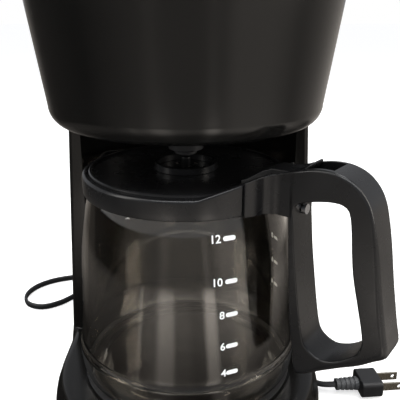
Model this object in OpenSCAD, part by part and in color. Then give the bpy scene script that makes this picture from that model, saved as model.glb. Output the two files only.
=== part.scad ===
// A drip coffee maker with a bowl-shaped head, a tower, a warming plate and a glass jug.
// The jug's axis is X = 0, Y = 0 and the front is -Y until centred() moves it all onto the frame.

/* [Machine] */
// Height from the table to the top of the lid
total_h = 335; // [332:1:342]
// Distance from the jug's axis back to the rear wall
back_y = 155; // [153:1:162]
// Thickness of the moulded walls
wall = 2.5; // [2.2:0.1:2.8]
// Radial clearance of a pin or stem in its hole
pin_fit = 0.05; // [0.03:0.01:0.08]
// Gap between pieces that move past each other
run_gap = 0.4; // [0.3:0.05:0.5]

/* [Base] */
// Height of the deck round the warming plate
deck_z = 50; // [49:0.5:51]
// Half width of the base at its widest
base_half = 93.5; // [92.5:0.5:97]
// Height of the rubber feet under the shell
foot_h = 3; // [2.5:0.5:3.5]
// Radius of the warming plate
plate_r = 67; // [65.5:0.5:68]

/* [Tower] */
// Half width of the tower where it stands on the base
tower_half = 91; // [89:0.5:92]
// Radius of the hollow in front that wraps the jug
niche_r = 84; // [82:0.5:85]
// Distance of the tower's front corners behind the jug's axis
tower_front_y = 38; // [32:1:44]

/* [Head] */
// Distance from the jug's rim up to the underside of the head
head_gap = 33; // [32:0.5:35]
// Half width of the head at its underside, before its edge is rounded
head_half_low = 82.6; // [82:0.2:84]
// Half width of the head at the top of the lid
head_half_top = 99.5; // [98:0.5:102]
// Distance of the centre of the head's round front behind the jug's axis
head_cy = 10; // [6:1:14]
// Radius of the head's rounded lower edge
head_edge_r = 13; // [10:1:15]
// Height of the top lid
lid_h = 16.7; // [16:0.1:17.5]
// Distance of the top lid's rear edge behind the jug's axis
lid_back_y = 132; // [130:1:132]

/* [Brewing] */
// Radius of the hole that the basket hangs in
basket_r = 63; // [58:1:64]
// Radius of the drip stop's spout
spout_r = 11; // [10:0.5:12]
// Half width of the water tank
tank_half = 78; // [70:1:78]
// Height of the underside of the water tank
tank_z = 70; // [69:1:74]

/* [Jug] */
// Radius of the jug's shoulder bead, its widest place
jug_r = 73.7; // [72:0.1:75]
// Radius of the jug's neck
neck_r = 61.5; // [60.5:0.5:62]
// Height of the jug from its foot to its rim
jug_h = 133.7; // [132:0.1:134]
// Thickness of the glass
glass_t = 2.5; // [2:0.1:3]
// Angle of the handle from straight ahead, toward the right
handle_turn = 54.5; // [48:0.5:60]
// Thickness of the handle
handle_w = 24; // [22:1:26]
// Angle from one edge of the handle's bracket to the other
bracket_span = 48; // [40:1:54]

/* [Switch] */
// Width of the rocker
rocker_w = 16.2; // [15:0.2:17]
// Angle that the rocker turns through
rocker_swing = 16; // [12:1:18]
// Height of the rocker's pin
switch_z = 25; // [24:0.5:26]

/* [Cord] */
// Width of the flat cord
cord_w = 6.2; // [5.6:0.2:6.4]
// Thickness of the flat cord
cord_t = 3.2; // [2.8:0.2:3.4]
// Length of the plug's blades
blade_l = 17.8; // [16:0.2:18.2]

/* [Hidden] */
$fn = 96;
black = "#15161a";
clear = "#c8d4d6";
steel = "#b9bcc0";

// Heights that follow from the driving sizes
lid_z = total_h - lid_h;          // seam between the head and the top lid
seam = 0.3;                       // gap along that seam
inner_deck_z = lid_z - 15.3;      // underside of the deck inside the head
inner_deck_t = 2.5;
basket_z = inner_deck_z + inner_deck_t;
plate_z = deck_z + 2;             // top of the warming plate
plate_t = 1.2;
plate_low = plate_z - plate_t;    // its underside
jug_z = plate_z + 0.3;            // foot of the jug
rim_z = jug_z + jug_h;            // its glass rim
head_z = rim_z + head_gap;        // underside of the head
collar_top = rim_z + 4;
collar_low = rim_z - 8.5;
lid_pad_z = rim_z + 11.6;         // top of the pad on the jug's lid
nub_z = lid_pad_z + run_gap + 0.5; // underside of the drip stop
pad_z = nub_z + 1.5;              // underside of its pad

// Where things stand
screw_places = [[72, -30], [-72, -30], [74, 140], [-74, 140]];
foot_places = [[50, -55], [-50, -55], [56, 136], [-56, 136]];
cover_z = foot_h;
cover_t = 2.5;
heater_r = 45;                    // centre line of the heater's bend
heater_leg = 38;
hose_y = heater_leg + 12;         // where the hoses start on the heater's ends
clamp_w = 16;
tube_z = plate_low - 10.8;        // centre of the water tube under the heater
tube_r = 4.5;
hose_r = 5.8;
elbow_r = 12;
valve_x = -heater_r;
valve_y = 122;
riser_y = 88;
hinge_y = lid_back_y + 8;
hinge_z = total_h - 5.5;
knuckle_x = 53;                   // middle of each lid knuckle
knuckle_w = 10;
pin_r = 1.5;
switch_face_y = -(base_half + 1);
rocker_y = switch_face_y + 5.5;
cord_exit = [-70, back_y, 20];
boot_l = 23;
screw_z = rim_z - 6;              // height of the screw that holds the handle
handle_hinge = [73, rim_z + 8];   // distance from the jug's axis, and height
hinge_slot_w = 17;
plug_at = [114, 26, 8];
plug_turn = 6;
relief_l = 18;
plug_l = 16;

// Centre of the box round the machine, which is moved to X = 0, Y = 0
handle_reach = 141;
lens_front = [-7.6, 5.4];         // foremost corner of the switch's lens, from the rocker's pin
reach_x = handle_reach * sin(handle_turn) + handle_w / 2 * cos(handle_turn);
reach_y = lens_front.y * sin(rocker_swing / 2) - lens_front.x * cos(rocker_swing / 2) - rocker_y;
centre_x = (reach_x - head_half_top) / 2;
centre_y = (back_y - reach_y) / 2;

// The cord's middle line: round numbers chosen by hand, on the table except at its two ends
cord_route = [
    [-70, cord_exit.y + boot_l, 20], [-71, 190, 18], [-79, 201, 12], [-93, 204, 6], [-108, 194, 3],
    [-122, 176, 2], [-134, 160, 2], [-150, 151, 2], [-166, 157, 2], [-173, 174, 2], [-168, 193, 2],
    [-153, 208, 2], [-130, 217, 2], [-100, 222, 2], [-65, 224, 2], [-30, 224, 2], [5, 222, 2],
    [40, 216, 2], [72, 204, 2], [94, 184, 2], [104, 158, 2], [103, 128, 2], [99, 98, 2], [95, 70, 2],
    [94.5, 46, 2.5], [97, 36, 4], [104, 28.7, 6], plug_at
];

function unit(v) = v / norm(v);
function left_of(v) = [-v.y, v.x];
function last(p) = len(p) - 1;
// Points along a smooth curve through the points p, n to each step
function smooth(p, n) = concat(
    [for (i = [0 : last(p) - 1], k = [0 : n - 1])
        let (t = k / n, a = p[max(i - 1, 0)], b = p[i], c = p[i + 1], d = p[min(i + 2, last(p))])
        b + t * (c - a) / 2 + t * t * (a - 2.5 * b + 2 * c - d / 2)
            + t * t * t * (1.5 * (b - c) + (d - a) / 2)],
    [p[last(p)]]);
// The curve p moved sideways by d, to the left of its direction
function beside(p, d) = [for (i = [0 : last(p)])
    p[i] + d * left_of(unit(p[min(i + 1, last(p))] - p[max(i - 1, 0)]))];
function arc(c, r, from, to, n) = [for (i = [0 : n])
    let (a = from + (to - from) * i / n) c + r * [cos(a), sin(a)]];
function reversed(p) = [for (i = [last(p) : -1 : 0]) p[i]];
function mirrored(p) = [for (q = p) [-q.x, q.y]];
function head_half(z) = head_half_low + (head_half_top - head_half_low) * (z - head_z) / (total_h - head_z);
function tower_half_at(z) = tower_half + (head_half_low - tower_half) * (z - deck_z) / (head_z - deck_z);

// ---- shared shapes ----

module centred() {
    translate([-centre_x, -centre_y, 0]) children();
}

// A round front and straight sides that run back to y = back, from a wall profile of [half width, z]
module bowed(profile, cy, back) {
    translate([0, cy, 0]) rotate(180) rotate_extrude(angle = 180)
        polygon(concat([[0, profile[0].y]], profile, [[0, profile[last(profile)].y]]));
    translate([0, back, 0]) rotate([90, 0, 0]) linear_extrude(back - cy)
        polygon(concat(profile, reversed(mirrored(profile))));
}

// A prism along Y between two widths
module tapered_block(half_low, half_high, z_low, z_high, y_front, y_back) {
    translate([0, y_back, 0]) rotate([90, 0, 0]) linear_extrude(y_back - y_front)
        polygon([[-half_low, z_low], [half_low, z_low], [half_high, z_high], [-half_high, z_high]]);
}

// The space inside the tower, or with inset 0 its outer shape, between two heights
module tower_space(inset, z_low, z_high) {
    difference() {
        tapered_block(tower_half_at(z_low) - inset, tower_half_at(z_high) - inset, z_low, z_high,
            tower_front_y + inset, back_y - inset);
        translate([0, 0, z_low - 1]) cylinder(r = niche_r + inset, h = z_high - z_low + 2, $fn = 180);
    }
}

module ring(r_in, r_out, z_low, z_high) {
    translate([0, 0, z_low]) difference() {
        cylinder(r = r_out, h = z_high - z_low);
        translate([0, 0, -1]) cylinder(r = r_in, h = z_high - z_low + 2);
    }
}

// A tube of oval section along a path
module sweep(path, half_w, half_t, sides) {
    n = len(path);
    points = [for (i = [0 : n - 1])
        let (t = unit(path[min(i + 1, n - 1)] - path[max(i - 1, 0)]), s = unit(cross(t, [0, 0, 1])),
            u = cross(s, t))
        for (k = [0 : sides - 1])
            path[i] + s * half_w * cos(360 * k / sides) + u * half_t * sin(360 * k / sides)];
    skin = [for (i = [0 : n - 2], k = [0 : sides - 1])
        let (a = i * sides + k, b = i * sides + (k + 1) % sides)
        each [[a, b, b + sides], [a, b + sides, a + sides]]];
    start = [for (k = [sides - 1 : -1 : 0]) k];
    end = [for (k = [0 : sides - 1]) (n - 1) * sides + k];
    polyhedron(points, concat([start], skin, [end]));
}

// Along +Y from y0 to y1 at x, z
module rod_y(x, z, r, y0, y1) {
    translate([x, y0, z]) rotate([-90, 0, 0]) cylinder(r = r, h = y1 - y0);
}

// Along X, between -half and half
module rod_x(y, z, r, half) {
    translate([-half, y, z]) rotate([0, 90, 0]) cylinder(r = r, h = 2 * half);
}

// Turns the plane of the handle: X runs out from the jug's axis and Y across the handle
module at_handle() {
    rotate(handle_turn - 90) children();
}

// ---- base ----

function base_profile(inset) = concat(
    [[base_half - 3.5 - inset, foot_h - (inset > 0 ? 1 : 0)], [base_half - 0.8 - inset, 14],
        [base_half - inset, 22], [base_half - 0.4 - inset, 30], [base_half - 2 - inset, 38]],
    arc([base_half - 10.5, deck_z - 6], 6 - inset, 0, 90, 6));

// Behind the tower's front corners the wall runs up into the tower
function base_side(inset) = [[base_half - 3.5 - inset, foot_h - (inset > 0 ? 1 : 0)],
    [base_half - 0.8 - inset, 14], [base_half - inset, 22], [base_half - 0.4 - inset, 30],
    [(base_half + tower_half) / 2 - inset, 40], [tower_half - inset, deck_z - inset]];

module base_solid(inset) {
    bowed(base_profile(inset), 0, tower_front_y + 0.01);
    translate([0, back_y - inset, 0]) rotate([90, 0, 0]) linear_extrude(back_y - inset - tower_front_y)
        polygon(concat(base_side(inset), reversed(mirrored(base_side(inset)))));
}

module base_housing() {
    rib_l = base_half - 76;
    color(black) centred() difference() {
        union() {
            difference() {
                base_solid(0);
                base_solid(wall);
            }
            translate([-17, switch_face_y, switch_z - 13]) cube([34, 6, 26]);
            for (p = screw_places) translate([p.x, p.y, cover_z + cover_t])
                cylinder(r = 4, h = deck_z - cover_z - cover_t - 1);
            for (s = [-1, 1]) translate([s * (base_half + 70) / 2 - rib_l / 2, 139, cover_z + cover_t])
                cube([rib_l, 2, 32]);
        }
        translate([0, 0, deck_z - wall - 1]) cylinder(r = plate_r + 1, h = wall + 2);
        tower_space(wall, deck_z - wall - 1, deck_z + 1);
        translate([-10.6, switch_face_y - 1, switch_z - 9.4]) cube([21.2, 12, 18.8]);
        for (p = screw_places) translate([p.x, p.y, 0]) cylinder(r = 1.5 + pin_fit, h = 16);
        rod_y(cord_exit.x, cord_exit.z, 5, back_y - wall - 1, back_y + 1);
    }
}

module bottom_cover() {
    edge = base_half - 3.5 - wall - 0.3;
    slot_l = 34;
    color(black) centred() difference() {
        bowed([[edge, cover_z], [edge, cover_z + cover_t]], 0, back_y - wall - 0.3);
        for (p = screw_places) translate([p.x, p.y, 0]) cylinder(r = 1.9, h = 10);
        for (p = foot_places) translate([p.x, p.y, 0]) cylinder(r = 3.1, h = 10);
        for (i = [0 : 7], s = [-1, 1]) translate([s * 24 - slot_l / 2, 10 + 12 * i, 0]) cube([slot_l, 4, 10]);
    }
}

module rubber_feet() {
    color("#26262a") centred() for (p = foot_places) translate([p.x, p.y, 0]) {
        cylinder(r = 9, h = cover_z);
        cylinder(r = 3, h = cover_z + cover_t);
        translate([0, 0, cover_z + cover_t]) cylinder(r = 4.2, h = 1.5);
    }
}

module cover_screws() {
    color(steel) centred() for (p = screw_places) translate([p.x, p.y, 0]) {
        translate([0, 0, cover_z]) cylinder(r = 1.5, h = 11);
        translate([0, 0, cover_z - 1.6]) difference() {
            cylinder(r = 3.2, h = 1.6);
            for (a = [0, 90]) rotate(a) translate([-2, -0.4, -1]) cube([4, 0.8, 1.8]);
        }
    }
}

module warming_plate() {
    color("#222326") centred() {
        translate([0, 0, plate_low]) cylinder(r = plate_r, h = plate_t);
        ring(plate_r - 1.2, plate_r, plate_low - 3, plate_low);
        translate([0, 0, tube_z - 9]) cylinder(r = 2, h = plate_low - tube_z + 9);
    }
}

module plate_gasket() {
    color("#2a2a2c") centred() {
        ring(plate_r + 0.1, plate_r + 4, deck_z, deck_z + 1.2);
        ring(plate_r + 0.1, plate_r + 0.95, deck_z - wall, deck_z);
    }
}

// The heater's U: a bend at the front and two legs that run back
module heater_sweep() {
    rotate(180) rotate_extrude(angle = 180) translate([heater_r, 0]) children();
    for (s = [-1, 1]) translate([s * heater_r, heater_leg, 0]) rotate([90, 0, 0])
        linear_extrude(heater_leg) children();
}

module heater_casting() {
    color("#9a9da0") centred() difference() {
        union() {
            heater_sweep() translate([-5, plate_low - 7]) square([10, 7]);
            heater_sweep() translate([0, tube_z]) circle(r = tube_r);
            for (s = [-1, 1]) {
                rod_y(s * heater_r, tube_z, tube_r, heater_leg - 1, hose_y + 10);
                rod_y(s * heater_r, plate_low - 3, 2, heater_leg - 1, heater_leg + 7);
            }
        }
        for (s = [-1, 1]) rod_y(s * heater_r, tube_z, 2.5, 5, hose_y + 11);
    }
}

module heater_clamp() {
    color(steel) centred() difference() {
        translate([-heater_r - 11, -clamp_w / 2, tube_z - tube_r - 1.55])
            cube([2 * heater_r + 22, clamp_w, 1.5]);
        translate([0, 0, tube_z - 10]) cylinder(r = 2 + pin_fit, h = 10);
    }
}

module clamp_nut() {
    color(steel) centred() translate([0, 0, tube_z - tube_r - 4.1]) difference() {
        cylinder(r = 4.4, h = 2.55, $fn = 6);
        translate([0, 0, -1]) cylinder(r = 2 + pin_fit, h = 5);
    }
}

module thermostat() {
    color("#d8d2c0") centred() translate([0, -20, plate_low - 9]) {
        cylinder(r = 8, h = 9);
        for (s = [-1, 1]) translate([s * 5 - 2, -0.4, -6]) cube([4, 0.8, 6]);
    }
}

module thermal_fuse() {
    color(steel) centred() translate([0, 22, plate_low - 2.05]) {
        rod_x(0, 0, 2, 6);
        rod_x(0, 0, 0.5, 14);
    }
}

// ---- tower ----

module tower_shell() {
    color(black) centred() difference() {
        tower_space(0, deck_z, head_z);
        tower_space(wall, deck_z - 1, head_z + 1);
    }
}

module water_tank() {
    front = niche_r + wall + 12;
    back = back_y - wall - 0.5;
    color("#3a3f44") centred() difference() {
        translate([-tank_half, front, tank_z]) cube([2 * tank_half, back - front, inner_deck_z - tank_z]);
        translate([2 - tank_half, front + 2, tank_z + 2])
            cube([2 * tank_half - 4, back - front - 4, inner_deck_z - tank_z]);
        translate([valve_x, valve_y, tank_z - 1]) cylinder(r = 4, h = 5);
    }
}

module check_valve() {
    color("#e6e2d6") centred() translate([valve_x, valve_y, 0]) difference() {
        union() {
            translate([0, 0, tank_z - 3]) cylinder(r = 9, h = 3);
            translate([0, 0, tank_z - 8]) cylinder(r = 7, h = 6);
            translate([0, 0, tank_z - 16]) cylinder(r = tube_r, h = 9);
        }
        translate([0, 0, tank_z - 17]) cylinder(r = 2, h = 18);
    }
}

// A hose that starts along Y at y0, turns up at y and ends at height top
module bent_hose(x, y0, y, top, r_in, r_out) {
    module skin(r) {
        rod_y(x, tube_z, r, y0 - (r < r_out ? 1 : 0), y - elbow_r);
        translate([x, y - elbow_r, tube_z + elbow_r]) rotate([90, 0, 90]) rotate([0, 0, -90])
            rotate_extrude(angle = 90) translate([elbow_r, 0]) circle(r = r);
        translate([x, y, tube_z + elbow_r]) cylinder(r = r, h = top - tube_z - elbow_r + (r < r_out ? 1 : 0));
    }
    difference() {
        skin(r_out);
        skin(r_in);
    }
}

module inlet_hose() {
    color("#cfcac0") centred()
        bent_hose(valve_x, hose_y, valve_y, tank_z - 8.5, tube_r + pin_fit, hose_r);
}

module riser_tube() {
    color("#cfcac0") centred()
        bent_hose(heater_r, hose_y, riser_y, inner_deck_z + 1, tube_r + pin_fit, hose_r);
}

module hose_clamps() {
    color(steel) centred() {
        for (s = [-1, 1]) translate([s * heater_r, hose_y + 2, tube_z]) rotate([-90, 0, 0])
            ring(hose_r + 0.05, hose_r + 1.1, 0, 5);
        translate([valve_x, valve_y, 0]) ring(hose_r + 0.05, hose_r + 1.1, tank_z - 14.5, tank_z - 9.5);
    }
}

// ---- head ----

function head_profile(inset, top) = concat(
    arc([head_half(head_z + head_edge_r) - head_edge_r, head_z + head_edge_r], head_edge_r - inset, -90, 0, 8),
    [[head_half(top) - inset, top]]);

module head_solid(inset, top) {
    bowed(head_profile(inset, top), head_cy, tower_front_y + 0.01);
    tapered_block(head_half(head_z + inset) - inset, head_half(top) - inset, head_z + inset, top,
        tower_front_y, back_y - inset);
}

module head_shell() {
    color(black) centred() difference() {
        head_solid(0, lid_z);
        head_solid(wall, lid_z + 1);
        tower_space(wall, head_z - 1, head_z + wall + 1);
        translate([0, 0, head_z - 1]) cylinder(r = spout_r + 5, h = wall + 2);
    }
}

module top_deck() {
    edge = head_half(inner_deck_z) - wall - 0.1;
    color("#1d1e22") centred() difference() {
        bowed([[edge, inner_deck_z], [edge, basket_z]], head_cy, back_y - wall - 0.1);
        translate([0, 0, inner_deck_z - 1]) cylinder(r = basket_r, h = 5);
        translate([heater_r, riser_y, inner_deck_z - 1]) cylinder(r = 8, h = 5);
        translate([4 - tank_half, niche_r + wall + 16, inner_deck_z - 1])
            cube([2 * tank_half - 8, back_y - niche_r - 2 * wall - 24, 5]);
    }
}

module riser_seal() {
    color("#b8b2a6") centred() translate([heater_r, riser_y, 0]) {
        ring(hose_r + pin_fit, 8 - pin_fit, inner_deck_z, basket_z);
        ring(3.5, 10, basket_z, basket_z + 1.1);
    }
}

// The top lid and the block behind it share this profile, with a rounded upper edge
function lid_profile(inset, low) = concat(
    [[head_half(low) - inset, low]],
    arc([head_half(total_h) - 7, total_h - 7], 7 - inset, 0, 90, 5));

module hinge_block() {
    slot_w = knuckle_w + 1;
    color(black) centred() difference() {
        union() {
            difference() {
                translate([0, back_y, 0]) rotate([90, 0, 0]) linear_extrude(back_y - lid_back_y - 1)
                    polygon(concat(lid_profile(0, lid_z), reversed(mirrored(lid_profile(0, lid_z)))));
                translate([0, back_y - wall, 0]) rotate([90, 0, 0])
                    linear_extrude(back_y - lid_back_y - 1 - 2 * wall)
                        polygon(concat(lid_profile(wall, lid_z - 1),
                            reversed(mirrored(lid_profile(wall, lid_z - 1)))));
            }
            for (s = [-1, 1], k = [-1, 1])
                translate([s * knuckle_x + k * (slot_w / 2 + 2) - 2, lid_back_y + 2, hinge_z - 6])
                    cube([4, 12, 9]);
        }
        for (s = [-1, 1]) translate([s * knuckle_x - slot_w / 2, lid_back_y, hinge_z - 8])
            cube([slot_w, 13, 20]);
        rod_x(hinge_y, hinge_z, pin_r + pin_fit, knuckle_x + 12);
        // The front edge is cut back, because the lid's rear wall swings past it
        rotate([90, 0, 90]) linear_extrude(2 * head_half_top + 10, center = true)
            polygon([[lid_back_y, total_h - 3.6], [lid_back_y + 4, total_h + 1], [lid_back_y, total_h + 1]]);
    }
}

module lid_hinge_pin() {
    color(steel) centred() rod_x(hinge_y, hinge_z, pin_r, knuckle_x + 9);
}

module top_lid() {
    low = lid_z + seam;
    color(black) centred() difference() {
        union() {
            difference() {
                bowed(lid_profile(0, low), head_cy, lid_back_y);
                bowed(lid_profile(wall, low - 1), head_cy, lid_back_y - wall);
            }
            for (s = [-1, 1]) {
                translate([s * knuckle_x - knuckle_w / 2, lid_back_y - 1, hinge_z - 2.5])
                    cube([knuckle_w, hinge_y - lid_back_y + 1, 5]);
                translate([s * knuckle_x, 0, 0]) rod_x(hinge_y, hinge_z, 3.4, knuckle_w / 2);
            }
        }
        rod_x(hinge_y, hinge_z, pin_r + pin_fit, knuckle_x + 10);
    }
}

module lid_liner() {
    low = basket_z + 8.5;
    half = head_half_top - 11.5;
    color("#202125") centred() difference() {
        bowed([[half, low], [half, total_h - wall]], head_cy, lid_back_y - 4);
        bowed([[half - 2, low + 2], [half - 2, total_h]], head_cy, lid_back_y - 6);
    }
}

module spray_head() {
    low = basket_z + 3.5;
    h = 5;
    reach = norm([heater_r, riser_y]);
    color("#2b2c30") centred() difference() {
        union() {
            translate([0, 0, low]) cylinder(r = 30, h = h);
            rotate(atan2(riser_y, heater_r)) translate([0, -7, low]) cube([reach, 14, h]);
            translate([heater_r, riser_y, low]) cylinder(r = 8.5, h = h);
            translate([heater_r, riser_y, low - 2]) cylinder(r = 5, h = 3);
        }
        translate([0, 0, low + 1.5]) cylinder(r = 28, h = h);
        rotate(atan2(riser_y, heater_r)) translate([0, -5, low + 1.5]) cube([reach + 3.5, 10, h]);
        translate([heater_r, riser_y, low - 3]) cylinder(r = 3, h = 8);
        for (a = [0 : 45 : 315], r = [12, 22]) rotate(a) translate([r, 0, low - 1]) cylinder(r = 1.4, h = 4);
        translate([0, 0, low - 1]) cylinder(r = 1.4, h = 4);
    }
}

// ---- brew basket and drip stop ----

seat_z = head_z - 5;

module brew_basket() {
    top_r = basket_r - 0.8;
    low_r = basket_r - 11;
    outer = [[top_r, basket_z], [low_r, head_z + 21], [low_r - 3, head_z + 16], [spout_r + 2, head_z + 5],
        [spout_r, head_z + 3], [spout_r, pad_z + 3]];
    inner = [[top_r - 2, basket_z + 2], [low_r - 2, head_z + 22], [low_r - 4.5, head_z + 18],
        [spout_r, head_z + 7.2], [spout_r - 2, head_z + 5], [spout_r - 2, seat_z + 2],
        [spout_r - 6, seat_z + 2], [spout_r - 6, seat_z], [spout_r - 2, seat_z], [spout_r - 2, pad_z + 3]];
    color("#232428") centred() {
        rotate_extrude() polygon(concat([[basket_r + 4, basket_z], [basket_r + 4, basket_z + 2]],
            inner, reversed(outer)));
        rotate(-90) translate([basket_r + 2, -9, basket_z]) cube([9, 18, 2]);
    }
}

module drip_plunger() {
    color("#2d2e33") centred() {
        translate([0, 0, nub_z]) cylinder(r = 3, h = 2);
        translate([0, 0, pad_z]) cylinder(r = 7, h = 1.6);
        translate([0, 0, pad_z + 1]) cylinder(r = 2.5, h = seat_z + 3.3 - pad_z);
        translate([0, 0, seat_z + 4.3]) cylinder(r = 4, h = 1.5);
    }
}

module valve_seal() {
    color("#a04a30") centred() ring(2.5 + pin_fit, 7.5, seat_z + 2.3, seat_z + 4.3);
}

module drip_spring() {
    low = pad_z + 2.1;
    high = seat_z - 0.5;
    turns = 5;
    steps = 60;
    color(steel) centred() sweep([for (i = [0 : steps])
        [4.4 * cos(360 * turns * i / steps), 4.4 * sin(360 * turns * i / steps),
            low + (high - low) * i / steps]], 0.4, 0.4, 8);
}

// ---- switch ----

module switch_housing() {
    color("#101114") centred() difference() {
        union() {
            translate([-10.4, switch_face_y - 0.5, switch_z - 9.2]) cube([20.8, 22, 18.4]);
            translate([-12.5, switch_face_y - 1.2, switch_z - 11.5]) cube([25, 1.2, 23]);
            for (x = [-6, 0, 6]) translate([x - 2, switch_face_y + 20, switch_z - 0.4]) cube([4, 8, 0.8]);
        }
        translate([-rocker_w / 2 - 0.3, switch_face_y - 2, switch_z - 7.6])
            cube([rocker_w + 0.6, 13, 15.2]);
        rod_x(rocker_y, switch_z, pin_r + pin_fit, 12);
    }
}

module rocker_pin() {
    color(steel) centred() rod_x(rocker_y, switch_z, pin_r, 10.2);
}

// Local shape of the rocker about its pin, drawn level and tilted to its off stop
module rocker_pose() {
    translate([0, rocker_y, switch_z]) rotate([rocker_swing / 2, 0, 0]) children();
}

module switch_rocker() {
    color("#1b1c20") centred() difference() {
        rocker_pose() difference() {
            rotate([90, 0, 90]) translate([0, 0, -rocker_w / 2]) linear_extrude(rocker_w)
                polygon([[-8, 0], [-6.6, 6.2], [-3, 6.2], [2.5, 2.5], [2.5, -2.5], [-3, -6.2], [-6.6, -6.2]]);
            translate([0, -5, lens_front.y - 2]) rotate([90, 0, 0]) cylinder(r = 2 + pin_fit, h = 5);
        }
        rod_x(rocker_y, switch_z, pin_r + pin_fit, 12);
    }
}

module switch_lens() {
    color("#c23a20") centred() rocker_pose() translate([0, -5, lens_front.y - 2]) rotate([90, 0, 0])
        cylinder(r = 2, h = -lens_front.x - 5);
}

// ---- cord and plug ----

module strain_relief() {
    color("#1a1b1e") centred() translate(cord_exit) rotate([-90, 0, 0]) {
        translate([0, 0, -wall - 2]) cylinder(r = 6.2, h = 2);
        translate([0, 0, -wall - 1]) cylinder(r = 5 - pin_fit, h = wall + 2);
        cylinder(r = 7, h = 2.5);
        for (i = [0 : 3]) translate([0, 0, 2.5 + 5 * i]) {
            cylinder(r = 5.6 - 0.35 * i, h = 3);
            cylinder(r = 4, h = i < 3 ? 5.1 : 5.5);
        }
    }
}

module power_cord() {
    color("#1a1b1e") centred() sweep(smooth(cord_route, 2), cord_w / 2, cord_t / 2, 10);
}

module at_plug() {
    translate(plug_at) rotate(plug_turn) rotate([0, 90, 0]) rotate(90) children();
}

module plug_body() {
    color("#15161a") centred() at_plug() {
        for (i = [0 : 3]) translate([0, 0, 4.5 * i]) {
            cylinder(r = 4.6 + 0.4 * i, h = 2.8);
            cylinder(r = 4, h = 4.6);
        }
        translate([0, 0, relief_l]) linear_extrude(plug_l) {
            square([11, 13], center = true);
            for (s = [-1, 1]) translate([5.5 * s, 0]) circle(r = 6.5);
        }
    }
}

module plug_blades() {
    color("#c9b27a") centred() at_plug() for (s = [-1, 1])
        translate([6.35 * s, 0, relief_l + plug_l]) difference() {
            translate([-0.75, -3.15, 0]) cube([1.5, 6.3, blade_l]);
            translate([-2, 0, blade_l - 3.5]) rotate([0, 90, 0]) cylinder(r = 1.6, h = 4);
        }
}

// ---- jug ----

// Outside of the glass from its foot to its rim: [radius, height above the foot]
jug_curve = smooth([
    [jug_r - 7.7, 0], [jug_r - 4.4, 1], [jug_r - 2.3, 4], [jug_r - 1.1, 9], [jug_r - 0.5, 14],
    [jug_r - 0.1, 18.5], [jug_r, 21], [jug_r - 1.3, 23.5], [jug_r - 1.8, 26],
    [jug_r - 2.3, 0.23 * jug_h], [jug_r - 2.9, 0.32 * jug_h], [jug_r - 3.8, 0.47 * jug_h],
    [jug_r - 4.4, 0.58 * jug_h], [jug_r - 5.5, 0.68 * jug_h], [neck_r + 4.7, jug_h - 28],
    [neck_r + 3.1, jug_h - 18], [neck_r + 1.7, jug_h - 12], [neck_r + 0.5, jug_h - 8],
    [neck_r, jug_h - 4], [neck_r, jug_h]], 3);

module glass_jug() {
    color(clear, 0.35) centred() translate([0, 0, jug_z]) rotate_extrude($fn = 128)
        polygon(concat([[0, 2], [46, 2], [50, 0]], jug_curve,
            reversed(concat([[0, 2 + glass_t], [50, 2 + glass_t]], beside(jug_curve, glass_t)))));
}

// Everything above the slope that the collar's top climbs toward the handle
module above_rise() {
    at_handle() translate([45, 0, collar_top + 0.5]) rotate([0, -23, 0]) translate([-120, -80, 0])
        cube([200, 160, 60]);
}

// The way through the collar and the handle for the lid's hinge piece and its thumb tab
module hinge_slot() {
    at_handle() translate([0, hinge_slot_w / 2, 0]) rotate([90, 0, 0]) linear_extrude(hinge_slot_w)
        polygon([[neck_r - 5, collar_top + 0.4], [85, collar_top + 0.4], [106, collar_top + 4.8],
            [106, head_z], [neck_r - 5, head_z]]);
}

module carafe_collar() {
    turn = handle_turn + 90;
    color(black) centred() difference() {
        union() {
            rotate_extrude($fn = 128) polygon([
                [neck_r + 2.6, collar_low], [neck_r + 3.7, collar_low + 4], [neck_r + 3.7, collar_top - 0.8],
                [neck_r + 2.9, collar_top], [neck_r + 0.1, collar_top], [neck_r + 0.1, collar_top - 2],
                [neck_r - 3.3, collar_top - 2], [neck_r - 3.3, rim_z + 0.3], [neck_r + 0.4, rim_z + 0.3],
                [neck_r + 0.4, rim_z - 4], [neck_r + 1.1, collar_low]]);
            rotate(turn) translate([0, 0, collar_top - 6]) linear_extrude(6)
                polygon([[neck_r + 2, -13], [neck_r + 11, 0], [neck_r + 2, 13]]);
            difference() {
                rotate(handle_turn - 140) rotate_extrude(angle = 100, $fn = 128)
                    translate([neck_r + 0.7, collar_top - 1]) square([3, 12]);
                above_rise();
            }
        }
        rotate(turn) translate([0, 0, collar_top - 4]) linear_extrude(5)
            polygon([[neck_r - 2, -10], [neck_r + 8.4, 0], [neck_r - 2, 10]]);
        hinge_slot();
        at_handle() translate([neck_r, 0, screw_z]) rotate([0, 90, 0]) cylinder(r = 1.6, h = 6);
    }
}

// Side views of the handle: [distance from the jug's axis, height above the rim]
function above_rim(p) = [for (q = p) [q.x, rim_z + q.y]];
handle_outer = above_rim(smooth([[66, 13.4], [70, 15], [76, 16.2], [84, 17.6], [94, 19.8], [104, 20],
    [112, 18], [118, 14.4], [122.8, 9], [126, 2.5], [128.3, -6], [131, -19], [135, -43], [139, -64],
    [handle_reach, -73.5], [139.6, -77.2], [134, -81], [126, -86.8], [116, -92.2], [104, -99],
    [94, -105], [89, -105.6], [87, -102], [86.5, -92], [84.6, -80], [83, -66], [81, -35], [80, -17],
    [78.5, -9.5], [74, -8.5], [64, -8.5]], 3));
handle_inner = above_rim(smooth([[83.4, -18], [82.4, -6], [83.8, -1], [88, 1.4], [96, 3.4], [104, 4.6],
    [110, 4.2], [114, 1], [115.8, -8], [117, -20], [119, -34], [122.6, -49], [126.2, -64], [127, -72],
    [124.5, -79], [116.5, -85.6], [111, -88.4], [105, -90], [100, -88.8], [95.2, -85.6], [92.6, -81],
    [90, -68], [87, -48], [84.8, -32], [83.4, -18]], 3));

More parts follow.
